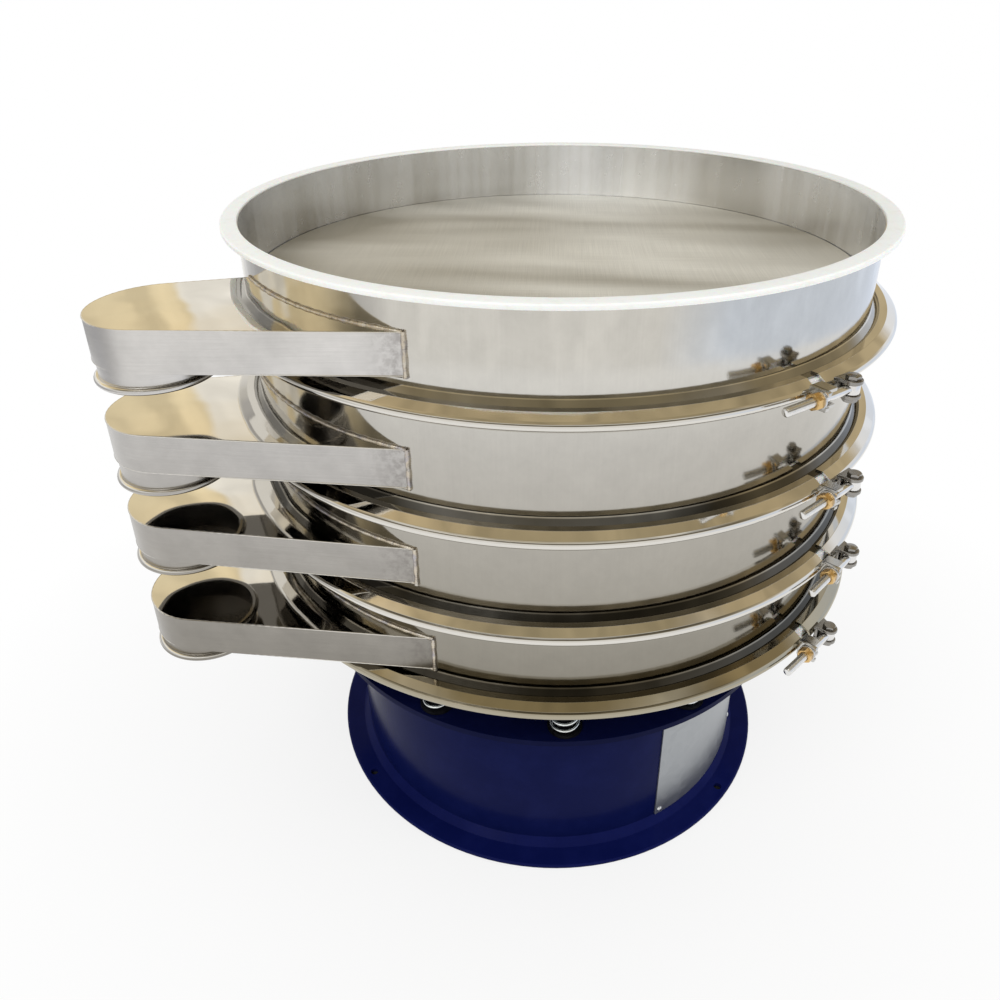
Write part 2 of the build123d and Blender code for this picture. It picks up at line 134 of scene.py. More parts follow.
class Shader:
    """Small helper that builds a node material round one Principled shader."""

    def __init__(self, name, **settings):
        self.material = bpy.data.materials.new(name)
        self.material.use_nodes = True
        self.tree = self.material.node_tree
        self.main = self.tree.nodes["Principled BSDF"]
        self.set(**settings)

    def set(self, **values):
        """Writes or links the Principled shader's inputs, which the keywords name."""
        for key, value in values.items():
            self.put(self.main.inputs[socket_name(key)], value)
        return self.material

    def put(self, socket, value):
        """Links an output to the socket or writes a value there; a colour gets its alpha here."""
        if hasattr(value, "links"):
            self.tree.links.new(value, socket)
        else:
            socket.default_value = (*value, 1.0) if socket.type == "RGBA" else value

    def show(self, shader):
        """Puts another shader in the place of the Principled one."""
        self.put(self.tree.nodes["Material Output"].inputs["Surface"], shader.outputs[0])
        return self.material

    def add(self, kind, inputs, **props):
        node = self.tree.nodes.new("ShaderNode" + kind)
        for key, value in props.items():
            setattr(node, key, value)
        for key, value in inputs.items():
            self.put(node.inputs[key], value)
        return node

    def place(self):
        return self.add("TexCoord", {}).outputs["Object"]

    def facing(self):
        return self.add("TexCoord", {}).outputs["Normal"]

    def split(self, vector):
        return self.add("SeparateXYZ", {0: vector}).outputs

    def join(self, x, y, z):
        return self.add("CombineXYZ", {0: x, 1: y, 2: z}).outputs[0]

    def scaled(self, vector, scale):
        return self.add("VectorMath", {0: vector, 1: scale}, operation="MULTIPLY").outputs[0]

    def math(self, operation, first, second=0.0):
        return self.add("Math", {0: first, 1: second}, operation=operation).outputs[0]

    def plus(self, first, second):
        return self.math("ADD", first, second)

    def minus(self, first, second):
        return self.math("SUBTRACT", first, second)

    def most(self, first, second):
        return self.math("MAXIMUM", first, second)

    def times(self, first, *others):
        for other in others:
            first = self.math("MULTIPLY", first, other)
        return first

    def noise(self, vector, scale, detail, rough=0.5, distort=0.0):
        node = self.add("TexNoise", {"Vector": vector, "Scale": scale, "Detail": detail,
                                     "Roughness": rough, "Distortion": distort})
        return node.outputs["Fac"]

    def spread(self, factor, given, wanted):
        """Turns the given range to the wanted one and holds the value beyond either end."""
        ends = {1: given[0], 2: given[1], 3: wanted[0], 4: wanted[1]}
        return self.add("MapRange", {0: factor, **ends}).outputs[0]

    def ramp(self, factor, stops):
        """Colours at places along the factor, as (place, colour) stops."""
        node = self.add("ValToRGB", {0: factor})
        elements = node.color_ramp.elements
        while len(elements) < len(stops):
            elements.new(0.5)
        for element, (at, colour) in zip(elements, stops):
            element.position = at
            element.color = (*colour, 1.0)
        return node.outputs[0]

    def blend(self, factor, a, b, kind="MIX"):
        node = self.add("Mix", {}, data_type="RGBA", blend_type=kind)
        for index, value in ((0, factor), (6, a), (7, b)):
            self.put(node.inputs[index], value)
        return node.outputs[2]

    def tinted(self, colour, tint):
        return self.blend(1.0, colour, tint, "MULTIPLY")

    def bump(self, height, strength, distance, normal=None):
        node = self.add("Bump", {"Strength": strength, "Distance": distance, "Height": height})
        if normal is not None:
            self.put(node.inputs["Normal"], normal)
        return node.outputs[0]


def shaded(colour, share):
    return tuple(c * share for c in colour)


def round_the_axis(s):
    """Coordinates that run round the stack, up it and out from it."""
    x, y, z = s.split(s.place())
    out = s.math("SQRT", s.plus(s.times(x, x), s.times(y, y)))
    return s.math("ARCTAN2", y, x), z, out


def painted_low_shade(s, z):
    """Painted shade by height, for the shaded floor close to the machine that the lower decks mirror."""
    decks = s.spread(z, (0.42, 0.93), (0.35, 0.9))
    top_deck = s.spread(z, (0.84, 0.93), (1.0, 1.11))
    return s.times(decks, top_deck)


def warmed(s, shade, z):
    """Painted shade as a colour, a little warmer on the lower decks."""
    less_green, less_blue = (s.spread(z, (0.45, 0.9), (low, 1.0)) for low in (0.955, 0.86))
    return s.join(shade, s.times(shade, less_green), s.times(shade, less_blue))


QUARTER_TURN = 0.25  # turns the stretched highlights inside the drum upright
PAINTED_HIGHLIGHT_X = 0.045       # middle of the painted highlight streak on the drum's far inside, at the photo's bright streak


def wall_steel(name, colour, inner_colour, rough, inner_rough):
    """Drum sheet with vertical grain, long soft waves and faint handling marks.

    Its flanges, beyond the wall, carry painted shade for the decks' shadow, and the sheet carries painted
    shade by height. The inside is brushed and duller, with painted shade to the left and one painted
    highlight streak at the back.
    """
    s = Shader(name, metallic=1.0, anisotropic_rotation=QUARTER_TURN)
    angle, z, out = round_the_axis(s)
    x, y, _ = s.split(s.place())

    def wrapped(round_it, up_it, **texture):
        return s.noise(s.join(s.times(angle, round_it), s.times(z, up_it), out), **texture)

    lines = wrapped(300.0, 5.0, scale=1.0, detail=5.0, rough=0.7)
    bands = wrapped(4.5, 0.8, scale=1.3, detail=3.0, rough=0.6)
    waves = wrapped(5.0, 4.0, scale=1.0, detail=2.0)
    marks = wrapped(5.0, 9.0, scale=3.0, detail=6.0, rough=0.65)
    inside = s.spread(out, (WALL_INNER_R - 1 * MM, WALL_INNER_R + 1 * MM), (1.0, 0.0))

    # Painted shade: beyond the wall, the flanges and weld bevels are darkened, most on the lower decks.
    on_sheet = s.spread(out, (WALL_R + 0.7 * MM, WALL_R + 2 * MM), (1.0, 0.0))
    ledge_painted_shade = s.most(on_sheet, s.spread(z, (0.75, 0.85), (0.26, 0.6)))
    cloud = s.spread(marks, (0.3, 0.7), (0.95, 1.03))
    grain = s.spread(lines, (0.3, 0.7), (0.98, 1.01))
    outside = s.times(ledge_painted_shade, cloud, painted_low_shade(s, z), grain)

    # Painted highlight: a bright streak painted on the drum's far inside.
    streak = s.spread(s.math("ABSOLUTE", s.minus(x, PAINTED_HIGHLIGHT_X)), (0.02, 0.15), (1.0, 0.0))
    painted_highlight = s.times(streak, s.spread(y, (0.0, 0.3), (0.0, 1.0)))
    # Inside: brush marks and random bands, with painted shade towards the left.
    brushed = s.times(s.spread(lines, (0.35, 0.65), (0.99, 1.0)), s.spread(bands, (0.35, 0.6), (0.78, 1.0)),
                      s.spread(x, (-0.45, -0.05), (0.70, 1.0)))
    brushed = s.most(brushed, painted_highlight)
    # The inside is partly diffuse in random bands, and more so in the painted highlight streak.
    frosted = s.times(inside, s.most(s.spread(bands, (0.38, 0.56), (0.1, 0.4)), painted_highlight))

    shade = s.plus(outside, s.times(inside, s.minus(brushed, outside)))
    polish = s.most(s.spread(marks, (0.3, 0.7), (0.8, 1.3)), s.times(inside, 1.3))
    level = s.spread(inside, (0.0, 1.0), (rough, inner_rough))
    grain_depth = s.spread(inside, (0.0, 1.0), (0.03, 0.0))
    return s.set(base_color=s.tinted(s.blend(inside, colour, inner_colour), warmed(s, shade, z)),
                 roughness=s.times(level, polish),
                 normal=s.bump(lines, grain_depth, 0.4 * MM, s.bump(waves, 0.22, 2 * MM)),
                 metallic=s.minus(1.0, frosted), anisotropic=s.times(inside, 0.8))


walls = wall_steel("drum_steel", (0.64, 0.62, 0.575), (0.93, 0.955, 1.0), 0.09, 0.33)
satin = wall_steel("satin_steel", (0.6, 0.58, 0.54), (0.66, 0.65, 0.62), 0.3, 0.36)


def sheet_steel(name, colour, rough):
    """Polished sheet: a mirror finish with fine hairlines, over slow unevenness."""
    s = Shader(name, metallic=1.0)
    p = s.place()
    waves = s.noise(p, scale=6.0, detail=2.0)
    haze = s.noise(p, scale=14.0, detail=5.0, rough=0.6)
    hair = s.noise(s.scaled(p, (30.0, 900.0, 900.0)), scale=1.0, detail=3.0)
    return s.set(base_color=s.blend(haze, shaded(colour, 0.95), colour),
                 roughness=s.spread(haze, (0.35, 0.7), (rough * 0.7, rough * 1.5)),
                 normal=s.bump(hair, 0.03, 0.3 * MM, s.bump(waves, 0.35, 3 * MM)))


polished = sheet_steel("polished_steel", (0.74, 0.715, 0.665), 0.05)
# The lowest band's steel: a darker, warmer copy of the polished steel, painted shade with a painted warm
# reflection.
straw = sheet_steel("band_steel_painted_shade", (0.42, 0.38, 0.29), 0.07)


def spout_steel():
    """Mirror plates with painted shade beneath, over a brushed side sheet that is burnt beside its weld."""
    s = Shader("spout_steel", metallic=1.0)
    p = s.place()
    _, z, out = round_the_axis(s)
    up = s.split(s.facing())[2]
    side = s.spread(s.math("ABSOLUTE", up), (0.3, 0.6), (1.0, 0.0))
    under = s.spread(up, (-0.6, -0.3), (1.0, 0.0))
    waves = s.noise(p, scale=5.0, detail=2.0)
    haze = s.noise(p, scale=16.0, detail=5.0, rough=0.6)
    grain = s.noise(s.scaled(p, (12.0, 12.0, 700.0)), scale=1.0, detail=4.0, rough=0.6)
    specks = s.noise(p, scale=110.0, detail=4.0, rough=0.65)

    # The side sheet's painted shade by height, with random haze and grain.
    shade = s.times(painted_low_shade(s, z), s.spread(haze, (0.3, 0.7), (0.86, 1.04)),
                    s.spread(grain, (0.3, 0.7), (0.95, 1.02)))
    near_weld = s.spread(out, (WALL_R + 1.5 * MM, WALL_R + 19.5 * MM), (1.0, 0.0))
    burnt = s.times(near_weld, s.spread(specks, (0.42, 0.62), (0.0, 1.0)))
    sheet = s.tinted((0.695, 0.68, 0.665), warmed(s, shade, z))
    sheet = s.blend(s.times(burnt, 0.45), sheet, (0.16, 0.14, 0.13))
    plate = s.blend(haze, (0.76, 0.735, 0.68), (0.84, 0.82, 0.78))
    # Painted shade: the plates' undersides are darkened in colour.
    plate = s.blend(under, plate, (0.12, 0.11, 0.095))
    return s.set(base_color=s.blend(side, plate, sheet),
                 roughness=s.spread(side, (0.0, 1.0), (0.05, 0.27)),
                 normal=s.bump(grain, s.times(side, 0.08), 0.3 * MM, s.bump(waves, 0.8, 4 * MM)))


spouts = spout_steel()


def weld():
    """Bright ripples with straw and blue heat tint and dark burnt specks."""
    s = Shader("weld_metal", metallic=1.0, roughness=0.3)
    p = s.place()
    heat = s.noise(p, scale=55.0, detail=3.0, rough=0.6)
    burnt = s.noise(p, scale=190.0, detail=5.0, rough=0.7)
    tint = s.ramp(heat, ((0.3, (0.66, 0.64, 0.60)), (0.5, (0.64, 0.57, 0.46)), (0.62, (0.46, 0.44, 0.46)),
                         (0.8, (0.68, 0.66, 0.63))))
    colour = s.blend(s.spread(burnt, (0.5, 0.68), (0.0, 0.75)), tint, (0.16, 0.14, 0.12))
    return s.set(base_color=colour, normal=s.bump(burnt, 0.35, 0.7 * MM))


weld_metal = weld()


def paint(name, colour, rough):
    """Sprayed paint with a fine peel and a trace of dust."""
    s = Shader(name, coat_weight=0.015, coat_roughness=0.06, roughness=rough, specular_ior_level=0.025)
    p = s.place()
    peel = s.noise(p, scale=260.0, detail=2.0)
    dust = s.noise(p, scale=18.0, detail=6.0, rough=0.6)
    dusty = tuple(c * 1.5 + 0.003 for c in colour)
    return s.set(base_color=s.blend(s.spread(dust, (0.45, 0.8), (0.0, 0.5)), colour, dusty),
                 normal=s.bump(peel, 0.12, 0.6 * MM))


blue = paint("navy_paint", (0.004, 0.007, 0.055), 0.22)
# The foot's paint is a slightly lighter copy of the navy paint: painted light on its upward face.
lit_foot_blue = paint("navy_paint_foot_painted_light", (0.004, 0.007, 0.064), 0.2)
# The base plate's paint is a darker copy of the navy paint: painted shade beneath the stack.
shaded_blue = paint("navy_paint_plate_painted_shade", (0.003, 0.005, 0.035), 0.25)
grey_paint = paint("grey_paint", (0.16, 0.17, 0.18), 0.4)


def plain_metal(name, colour, rough, grain=120.0):
    """Small metal parts, and seats: fine pits that darken and roughen the surface."""
    s = Shader(name, metallic=1.0)
    pits = s.noise(s.place(), scale=grain, detail=5.0, rough=0.6)
    return s.set(base_color=s.blend(pits, shaded(colour, 0.8), colour),
                 roughness=s.spread(pits, (0.3, 0.7), (rough * 0.75, rough * 1.4)),
                 normal=s.bump(pits, 0.15, 0.6 * MM))


zinc = plain_metal("zinc", (0.7, 0.71, 0.72), 0.28)
spring_zinc = plain_metal("spring_zinc", (0.86, 0.89, 0.88), 0.2)
# The spring seats are near-black: painted shade, so that they show only as shadow round the springs.
seat_painted_shade = plain_metal("seat_painted_shade", (0.03, 0.03, 0.035), 0.5)
bracket_steel = plain_metal("bracket_steel", (0.66, 0.65, 0.625), 0.13, 90.0)
cast = plain_metal("cast_steel", (0.36, 0.345, 0.32), 0.24, 70.0)
turned = plain_metal("turned_steel", (0.6, 0.6, 0.6), 0.25)
thread_zinc = plain_metal("thread_zinc", (0.86, 0.85, 0.83), 0.16, 90.0)
brass = plain_metal("brass", (0.78, 0.52, 0.22), 0.25)
weight_iron = plain_metal("weight_iron", (0.2, 0.2, 0.21), 0.5)


def galvanised_sheet():
    """Bare sheet with a faint zinc spangle."""
    s = Shader("galvanised_sheet", metallic=0.85)
    spangle = s.add("TexVoronoi", {"Vector": s.place(), "Scale": 90.0}, feature="F1").outputs["Color"]
    shade = s.add("RGBToBW", {0: spangle}).outputs[0]
    return s.set(base_color=s.blend(shade, (0.33, 0.345, 0.36), (0.38, 0.395, 0.41)),
                 roughness=s.spread(shade, (0.0, 1.0), (0.34, 0.42)), normal=s.bump(shade, 0.05, 0.3 * MM))


cover = galvanised_sheet()


def silicone():
    """Cream rubber with faint soiling."""
    s = Shader("silicone", roughness=0.45, subsurface_weight=0.15, subsurface_scale=0.01)
    soil = s.noise(s.place(), scale=60.0, detail=6.0, rough=0.6)
    soiled = s.blend(s.spread(soil, (0.5, 0.85), (0.0, 0.6)), (0.98, 0.965, 0.93), (0.84, 0.79, 0.70))
    return s.set(base_color=soiled, normal=s.bump(soil, 0.1, 0.8 * MM))


rubber = silicone()
WIRE_WAVE = 1.6 * MM  # two wires of the screen mesh


def weave():
    """Plain woven wire: fine changes of tone along both sets of wires, and a painted sheen in soft patches.
    """
    s = Shader("wire_mesh", metallic=0.35, roughness=0.45)
    p = s.place()
    x, y, z = s.split(p)
    warp, weft = (s.math("SINE", s.times(way, 2 * pi / WIRE_WAVE)) for way in (x, y))
    threads = [s.noise(s.scaled(p, stretch), scale=1.0, detail=3.0, rough=0.6)
               for stretch in ((900.0, 7.0, 1.0), (7.0, 900.0, 1.0))]
    tone = s.times(s.plus(*threads), 0.5)
    # Painted sheen: soft lighter patches, lighter towards the front and darker to the far left.
    leaning = s.join(s.plus(x, s.times(y, 0.9)), y, z)
    sheen_noise = s.noise(s.scaled(leaning, (1.3, 3.4, 1.0)), scale=1.0, detail=2.0, distort=0.3)
    painted_light_by_place = s.plus(s.spread(y, (-0.45, 0.3), (0.22, -0.06)), s.spread(x, (-0.45, 0.0), (-0.14, 0.0)))
    painted_sheen = s.spread(s.plus(sheen_noise, painted_light_by_place), (0.36, 0.66), (0.0, 1.0))
    fabric = s.blend(painted_sheen, (0.38, 0.36, 0.305), (0.96, 0.955, 0.90))
    shade = s.spread(tone, (0.35, 0.65), (0.84, 1.06))
    return s.set(base_color=s.tinted(fabric, s.join(shade, shade, shade)),
                 normal=s.bump(s.times(warp, weft), 0.35, 0.5 * MM))


mesh_wire = weave()

# Each node's look, under its name without a number
LOOKS = {
    "deck_frame": walls, "spout": spouts, "outlet_collar": spouts, "clamp_band": polished,
    "screen_ring": satin, "screen_mesh": mesh_wire, "bottom_pan": satin,
    "rim_gasket": rubber, "clamp_gasket": rubber,
    "latch_pin": cast, "eye_bolt": cast, "latch_washer": zinc, "latch_nut": brass,
    "base_foot": lit_foot_blue, "base_body": blue, "base_plate": shaded_blue,
    "service_cover": cover, "cover_screws": zinc,
    "lower_spring_seats": seat_painted_shade, "upper_spring_seats": seat_painted_shade, "springs": spring_zinc,
    "drive_frame": grey_paint, "motor_housing": grey_paint, "motor_bolts": zinc,
    "terminal_box": grey_paint, "motor_shaft": turned,
    "upper_weight": weight_iron, "lower_weight": weight_iron, "trim_weight": weight_iron,
}
for name, obj in nodes.items():
    look = LOOKS[name.rstrip("0123456789_")]
    obj.data.materials.clear()
    obj.data.materials.append(look)


# ---- Tools that draw pieces
def skin(bm, rows, wrap_rows=False):
    """Quads through closed rings of points, with the first and last ring filled or joined."""
    grid = [[bm.verts.new(p) for p in row] for row in rows]
    height, width = len(grid), len(grid[0])
    for i in range(height if wrap_rows else height - 1):
        near, far = grid[i], grid[(i + 1) % height]
        for j in range(width):
            bm.faces.new((near[j], near[(j + 1) % width], far[(j + 1) % width], far[j]))
    if not wrap_rows:
        bm.faces.new(reversed(grid[0]))
        bm.faces.new(grid[-1])


def add_piece(name, bm, look, body, place=None, sharp=38.0, replaced=None):
    """Makes a drawn piece an object; edges sharper than so many degrees stay crisp."""
    if place is not None:
        bmesh.ops.transform(bm, matrix=place, verts=bm.verts)
    bmesh.ops.recalc_face_normals(bm, faces=bm.faces)
    mesh = bpy.data.meshes.new(name)
    bm.to_mesh(mesh)
    bm.free()
    mesh.shade_smooth()
    mesh.set_sharp_from_angle(angle=radians(sharp))
    mesh.materials.append(look)
    piece = bpy.data.objects.new(name, mesh)
    bpy.context.scene.collection.objects.link(piece)
    if body:
        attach(piece, body)
    if replaced:
        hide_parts(replaced)
    return piece


def flat_shading(piece):
    """Keeps a broad face's shading true beside its small rounded edges."""
    piece.modifiers.new("true_normals", "WEIGHTED_NORMAL").keep_sharp = True


SOFT_FROM = radians(35.0)  # flatter edges stay as they are


def soften(piece, width, segments=2):
    """Rounds a piece's sharp edges."""
    bevel = piece.modifiers.new("soft_edges", "BEVEL")
    bevel.width, bevel.segments = width, segments
    bevel.limit_method, bevel.angle_limit = "ANGLE", SOFT_FROM
    bevel.harden_normals = True


def merge(bm, part):
    """Adds a drawn part to a piece."""
    spare = bpy.data.meshes.new("spare")
    part.to_mesh(spare)
    part.free()
    bm.from_mesh(spare)
    bpy.data.meshes.remove(spare)


def stepped(start, end, steps):
    """Even steps from start to end, both included."""
    return [start + (end - start) * i / steps for i in range(steps + 1)]


def polar(radius, azimuth, z=0.0):
    """Point at a radius and azimuth from the stack's axis."""
    return Vector((radius * cos(azimuth), radius * sin(azimuth), z))


def rounded(corners, steps=6):
    """Closed outline whose (x, y, rounding) corners are turned to arcs."""
    points = []
    for i, (x, y, rounding) in enumerate(corners):
        here = Vector((x, y))
        if not rounding:
            points.append(here)
            continue
        back = (Vector(corners[i - 1][:2]) - here).normalized()
        ahead = (Vector(corners[(i + 1) % len(corners)][:2]) - here).normalized()
        half = back.angle(ahead) / 2
        centre = here + (back + ahead).normalized() * rounding / sin(half)
        start = (here + back * rounding / tan(half) - centre) / rounding
        finish = (here + ahead * rounding / tan(half) - centre) / rounding
        points += [centre + rounding * start.slerp(finish, k / steps) for k in range(steps + 1)]
    return points


AXIS_R = 0.01 * MM  # a lathe's outline keeps this far from the axis


def lathe(bm, outline, start=0.0, end=2 * pi, steps=300):
    """Turns a closed (radius, height) outline about Z, all the way or from one azimuth to another."""
    full = end - start > 2 * pi - 1e-6
    turns = stepped(start, end, steps)
    if full:
        turns.pop()
    skin(bm, [[(r * cos(a), r * sin(a), z) for r, z in outline] for a in turns], wrap_rows=full)


def prism(bm, outline, low, high):
    """Closed XY outline, extruded along Z."""
    skin(bm, [[(x, y, z) for x, y in outline] for z in (low, high)])


def lay_along_y(bm, at=(0, 0, 0)):
    """Lays what is drawn up Z along -Y, from the given place."""
    bmesh.ops.rotate(bm, verts=bm.verts, matrix=Matrix.Rotation(pi / 2, 3, "X"))
    bmesh.ops.translate(bm, verts=bm.verts, vec=at)


def hex_piece(bm, flats, low, high, at=(0.0, 0.0), hole=0.0):
    """Hexagonal head or nut whose corners are turned down at both ends."""
    inner, count = flats / 2, 48
    turned_r, turned_slope = 1.01 * inner, 0.55
    lead = 0.15 * hole  # bevel at both ends of the bore
    turns = stepped(0.0, 2 * pi, count)[:-1]
    side = [inner / cos((a + pi / 6) % (pi / 3) - pi / 6) for a in turns]
    end = [min(r, turned_r) for r in side]
    drop = [(r - e) * turned_slope for r, e in zip(side, end)]

    def ring(radii, heights):
        return [(at[0] + r * cos(a), at[1] + r * sin(a), z) for r, z, a in zip(radii, heights, turns)]

    rows = [ring(end, [low] * count), ring(side, [low + d for d in drop]),
            ring(side, [high - d for d in drop]), ring(end, [high] * count)]
    if hole:
        rows += [ring([r] * count, [z] * count) for r, z in
                 ((hole + lead, high), (hole, high - lead), (hole, low + lead), (hole + lead, low))]
    skin(bm, rows, wrap_rows=bool(hole))


def sweep(bm, path, radius, sides=10, closed=False):
    """Round tube along a path; the radius may be a function of the point's number."""
    size = radius if callable(radius) else lambda i: radius
    rows, side = [], None
    for i, here in enumerate(path):
        behind = path[i - 1] if i or closed else here
        ahead = path[(i + 1) % len(path)] if i + 1 < len(path) or closed else here
        along = (ahead - behind).normalized()
        if side is None:
            side = along.orthogonal()
        side = (side - along * side.dot(along)).normalized()
        across = along.cross(side)
        rows.append([here + size(i) * (side * cos(2 * pi * k / sides) + across * sin(2 * pi * k / sides))
                     for k in range(sides)])
    skin(bm, rows, wrap_rows=closed)


# ---- Rim gasket: cream U profile with soft corners, over the top flange
FLANGE_T = 3 * MM
RIM_T, RIM_HOOK_T, RIM_HOOK = 3 * MM, 1.2 * MM, 6 * MM  # above the flange, beneath it, and how far


def make_rim_gasket():
    inner, hook = WALL_R - 1.5 * MM, FLANGE_R - RIM_HOOK
    seat = RIM_TOP - RIM_T
    under = seat - FLANGE_T
    foot = under - RIM_HOOK_T
    outline = rounded([(inner, seat, 0.4 * MM), (inner, RIM_TOP, 1.2 * MM),
                       (GASKET_R - 1.6 * MM, RIM_TOP, 0.8 * MM), (GASKET_R, RIM_TOP - 1.8 * MM, 0.9 * MM),
                       (GASKET_R, foot, 0.5 * MM), (hook, foot, 0.5 * MM),
                       (hook, under, 0.0), (FLANGE_R, under, 0.0), (FLANGE_R, seat, 0.0)], 4)
    bm = bmesh.new()
    lathe(bm, outline, steps=360)
    add_piece("rim_gasket_moulded", bm, rubber, "sieve_stack", replaced="rim_gasket")


# ---- Clamp bands: rolled channel with its saddle and yoke
BAND_T = 2.5 * MM
GAP = (2 * MM, 24 * MM)  # the channel's two ends, aside from the radius that the latch stands on
WELD_SINK = 1.3 * MM     # of saddles and yokes in the band
ROD_R, SLOT_R, PIN_R = 6 * MM, 6.5 * MM, 5 * MM
SADDLE_HALF = (11 * MM, 13 * MM)  # along the rod, and up
SADDLE_FACE_T, SADDLE_PLATE_T = 6 * MM, 5 * MM
SADDLE_RIM = 5 * MM               # of the face beyond the slot
EAR_R, EAR_Z = 12 * MM, (7 * MM, 12 * MM)  # the ears' round ends, and their inner and outer faces
EAR_FOOT, EAR_FLARE = 6 * MM, 3 * MM       # they widen towards the band
BLOCK_BACK, BLOCK_HALF = 11 * MM, 8 * MM   # the yoke's block, short of the pin, and its half height
PIN_FLATS, PIN_HEAD = 16 * MM, 5 * MM


def band_outline():
    """Thin channel: flat lips, cones and a blunt rounded nose."""
    lip, shoulder, nose = FLANGE_R - 8 * MM, FLANGE_R + 2.5 * MM, FLANGE_R + 14 * MM
    top, nose_z, face_z = 11 * MM, 6.5 * MM, 3 * MM
    slope = BAND_T * 0.7  # the sheet's thickness along one axis, where it slants
    outer = [(lip, top + BAND_T, 0.7 * MM), (shoulder, top + BAND_T, 1.2 * MM), (nose, nose_z, 6 * MM),
             (BAND_R, face_z, 6.5 * MM)]
    inner = [(BAND_R - BAND_T, face_z - slope, 1 * MM), (nose - slope, nose_z - slope, 2.5 * MM),
             (shoulder - slope / 2, top, 0.8 * MM), (lip, top, 0.7 * MM)]
    outer += [(r, -z, c) for r, z, c in reversed(outer)]
    return rounded(outer + [(r, -z, c) for r, z, c in reversed(inner)] + inner, 5)


def make_band(deck):
    """Polished channel, open where the latch draws its two ends together."""
    bm = bmesh.new()
    lathe(bm, band_outline(), atan2(GAP[1], BAND_R), atan2(GAP[0], BAND_R) + 2 * pi)
    # The lowest band takes the darker, warmer copy of the steel: painted shade.
    look = straw if deck == DECKS[-1] else polished
    band = add_piece(f"band_{deck}", bm, look, "sieve_stack", at_latch(deck),
                     replaced=f"clamp_band_{deck}")
    flat_shading(band)


def make_saddle(deck):
    """Folded bracket: slotted face for the rod, with a top and a bottom plate back to the band."""
    half_y, half_z = SADDLE_HALF
    back, out = BAND_R - WELD_SINK, LATCH_R + SLOT_R + SADDLE_RIM
    face = rounded([(back, -half_z, 0), (out, -half_z, 3 * MM), (out, -SLOT_R, 1 * MM)], 4)
    face += [(LATCH_R - SLOT_R * cos(a), SLOT_R * sin(a)) for a in stepped(-pi / 2, pi / 2, 12)]
    face += rounded([(out, SLOT_R, 1 * MM), (out, half_z, 3 * MM), (back, half_z, 0)], 4)
    bm = bmesh.new()
    prism(bm, face, half_y - SADDLE_FACE_T, half_y)
    for sign in (-1, 1):
        low, high = sorted((sign * half_z, sign * (half_z - SADDLE_PLATE_T)))
        edge = out - SADDLE_RIM
        prism(bm, [(back, low), (edge, low), (edge, high), (back, high)], -half_y,
              half_y - SADDLE_FACE_T / 2)
    lay_along_y(bm)
    piece = add_piece(f"saddle_{deck}", bm, bracket_steel, "sieve_stack", at_latch(deck))
    soften(piece, 0.9 * MM, 3)


def make_yoke(deck):
    """Two ears round the cross bolt, on a block welded to the band."""
    back, front = BAND_R - WELD_SINK, LATCH_R - BLOCK_BACK
    near, far = PIN_ASIDE - EAR_R, PIN_ASIDE + EAR_R
    tip = [(LATCH_R + EAR_R * cos(a), PIN_ASIDE + EAR_R * sin(a)) for a in stepped(-pi / 2, pi / 2, 20)]
    ear = [(back, near - EAR_FLARE), (back + EAR_FOOT, near), *tip, (back + EAR_FOOT, far),
           (back, far + EAR_FLARE)]
    bm = bmesh.new()
    prism(bm, ear, *EAR_Z)
    prism(bm, ear, -EAR_Z[1], -EAR_Z[0])
    block = rounded([(back, near, 0), (front, near, 1 * MM), (front, far, 1 * MM), (back, far, 0)], 3)
    prism(bm, block, -BLOCK_HALF, BLOCK_HALF)
    piece = add_piece(f"yoke_{deck}", bm, cast, "sieve_stack", at_latch(deck))
    soften(piece, 1.1 * MM, 3)


def make_pin(deck):
    """Cross bolt through the yoke's ears, with a hexagon at both ends."""
    bm = bmesh.new()
    at, end = (LATCH_R, PIN_ASIDE), EAR_Z[1]
    lathe(bm, [(AXIS_R, -end), (PIN_R, -end), (PIN_R, end), (AXIS_R, end)], steps=32)
    bmesh.ops.translate(bm, verts=bm.verts, vec=(*at, 0))
    for low in (end, -end - PIN_HEAD):
        hex_piece(bm, PIN_FLATS, low, low + PIN_HEAD, at)
    add_piece(f"cross_bolt_{deck}", bm, cast, "sieve_stack", at_latch(deck),
              replaced=f"latch_pin_{deck}")


# ---- Eye-bolt, washer and nut; the thread is drawn coarser than M12, so that it shows
PLAY = 0.05 * MM  # between a bore and what fills it
EYE_R, EYE_HALF = 10 * MM, 6.8 * MM
ROD_START, THREAD_START, ROD_END = 8 * MM, 57 * MM, 118 * MM
ROD_SIDES, ROD_TAPER, ROD_TIP = 20, 1.5 * MM, 0.8  # length of the tapered end, tip's share of the radius
THREAD_PITCH, THREAD_DEPTH = 2.4 * MM, 0.8 * MM
RING_STEP, RUN_IN = 0.35 * MM, 6  # between two rings of the thread, and rings that it deepens over
WASHER_R, WASHER_T = 12 * MM, 2.5 * MM
NUT_FLATS, NUT_HEIGHT = 19 * MM, 10 * MM


def rod_rows():
    """Rings along the rod: plain at first, then a thread that deepens and ends in a taper."""
    turns = stepped(0.0, 2 * pi, ROD_SIDES)[:-1]
    rows = [[polar(ROD_R, a, z) for a in turns] for z in (ROD_START, THREAD_START)]
    for i in range(1, int((ROD_END - THREAD_START) / RING_STEP) + 1):
        z = THREAD_START + i * RING_STEP
        taper = min(1.0, (ROD_END - z) / ROD_TAPER) * (1 - ROD_TIP) + ROD_TIP
        row = []
        for k, a in enumerate(turns):
            phase = (z / THREAD_PITCH + k / ROD_SIDES) % 1.0
            groove = THREAD_DEPTH * abs(2 * phase - 1) * min(1.0, i / RUN_IN)
            row.append(polar((ROD_R - groove) * taper, a, z))
        rows.append(row)
    return rows


